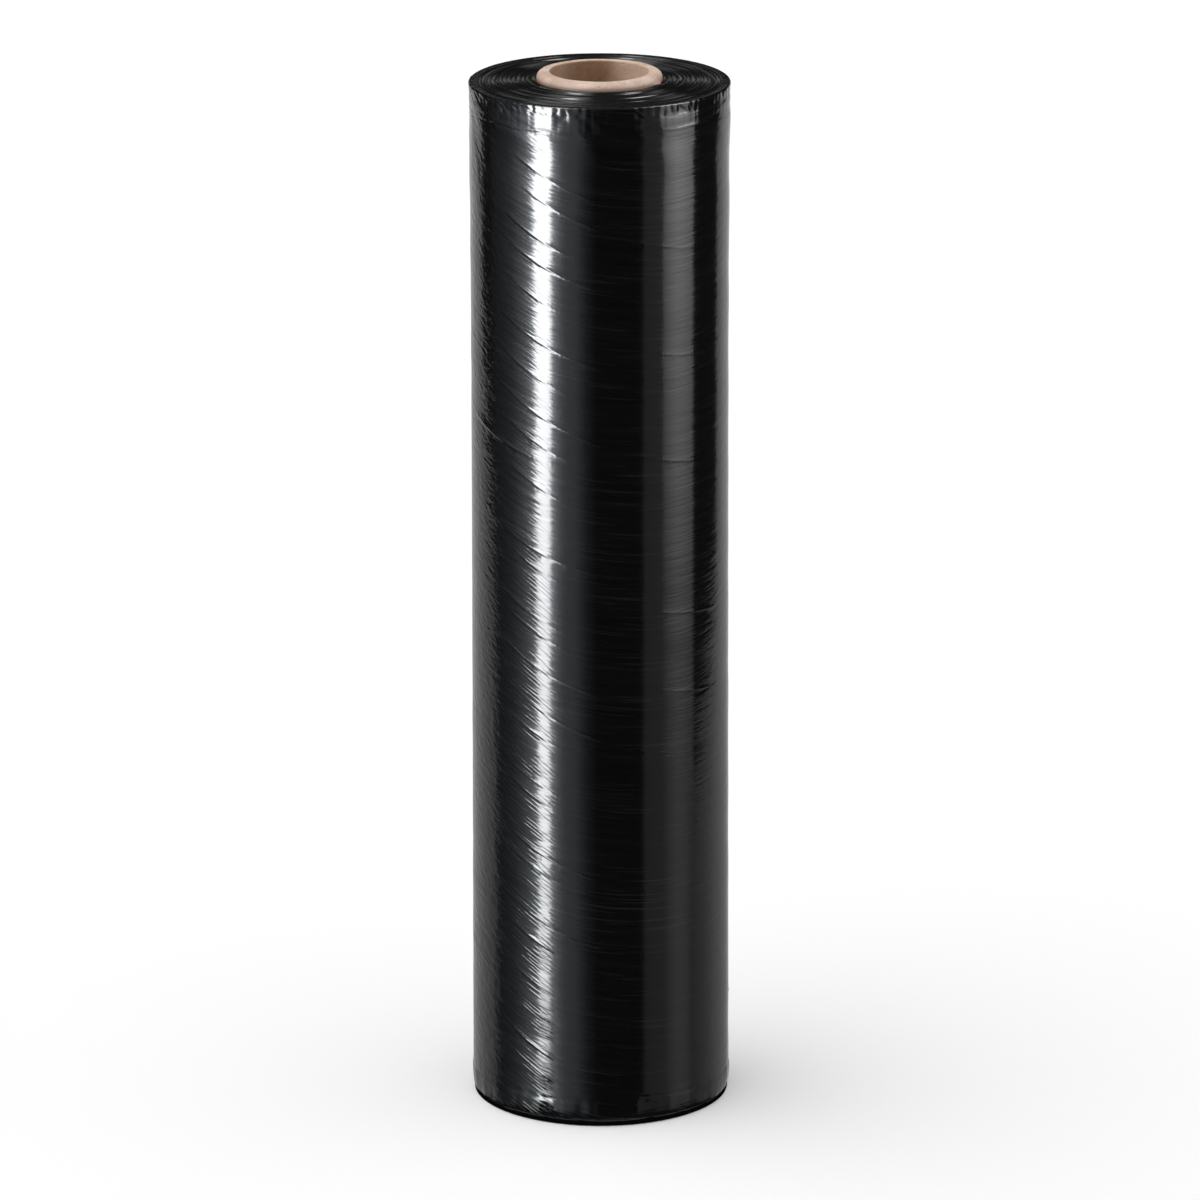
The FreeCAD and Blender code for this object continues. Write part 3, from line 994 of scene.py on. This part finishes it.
# Soft patches of light above the roll, for its upper end: direction, the cosines of the angle
# from it where the patch begins and is full, and its glow.
HIGH_PATCHES = [
    ((-0.26, 0.34, 0.904), 0.968, 0.998, 3.2),
    ((0.40, 0.53, 0.747), 0.978, 0.998, 1.0),
    ((-0.20, 0.74, 0.642), 0.974, 0.990, 0.45),
]

# Lamps: name, strength, degrees down from straight above, and degrees turned.
LAMPS = [("left_lamp", 1.45, 38, -82), ("right_lamp", 0.52, 40, 75)]
LAMP_WIDTH = 80  # degrees that each lamp spans, so that its shadow is soft


def make_light():
    """The surround: white to the eye, plain light on the object, and dark boards in its gloss."""
    world = bpy.data.worlds.new("white_surround")
    bpy.context.scene.world = world
    add = node_adder(world)
    world.cycles.sampling_method = "NONE"
    path = add("LightPath")
    mirrored = maths(add, "MAXIMUM", path["Is Glossy Ray"], path["Is Transmission Ray"])
    toward = add("TexCoord")["Generated"]
    up = add("SeparateXYZ", Vector=toward)["Z"]
    glow = fade(add, up, 0.60, 0.90, MIRRORED, OVERHEAD)
    for direction, begins, full, strength in HIGH_PATCHES:
        near = add("VectorMath", {"operation": "DOT_PRODUCT"}, i0=toward, i1=direction)["Value"]
        glow = maths(add, "ADD", glow, fade(add, near, begins, full, 0.0, strength))
    glow = maths(add, "ADD", glow, fade(add, up, -0.8, -0.6, GROUND_GLOW, 0.0))
    plain = maths(add, "MULTIPLY_ADD", path["Is Camera Ray"], 1.0 - SKY, SKY)
    shown = add("Mix", Factor=mirrored, A=plain, B=glow)["Result"]
    add("OutputWorld", Surface=add("Background", Color=WHITE, Strength=shown)["Background"])
    for name, energy, tilt, turn in LAMPS:
        lamp = bpy.data.lights.new(name, "SUN")
        lamp.energy = energy
        lamp.angle = math.radians(LAMP_WIDTH)
        holder = bpy.data.objects.new(name, lamp)
        holder.rotation_euler = (math.radians(tilt), 0, math.radians(turn))
        holder.visible_glossy = False
        bpy.context.scene.collection.objects.link(holder)


make_light()

CAMERA_PLACE = (-0.0001, -2.951, 1.0505)
CAMERA_DIP = 16.07  # degrees that it looks down
CAMERA_ROLL = -0.09  # degrees
CAMERA_LENS = 235.5  # mm, on a sensor 36 mm wide


def make_camera():
    """A long lens, well back from the roll and a little above it."""
    data = bpy.data.cameras.new("camera")
    data.sensor_width = 36
    data.lens = CAMERA_LENS
    data.clip_end = 50
    camera = bpy.data.objects.new("camera", data)
    camera.location = CAMERA_PLACE
    tilt = Matrix.Rotation(math.radians(90 - CAMERA_DIP), 3, "X")
    roll = Matrix.Rotation(math.radians(CAMERA_ROLL), 3, "Z")
    camera.rotation_euler = (tilt @ roll).to_euler()
    bpy.context.scene.collection.objects.link(camera)
    bpy.context.scene.camera = camera


make_camera()
bpy.context.scene.view_settings.view_transform = "Standard"
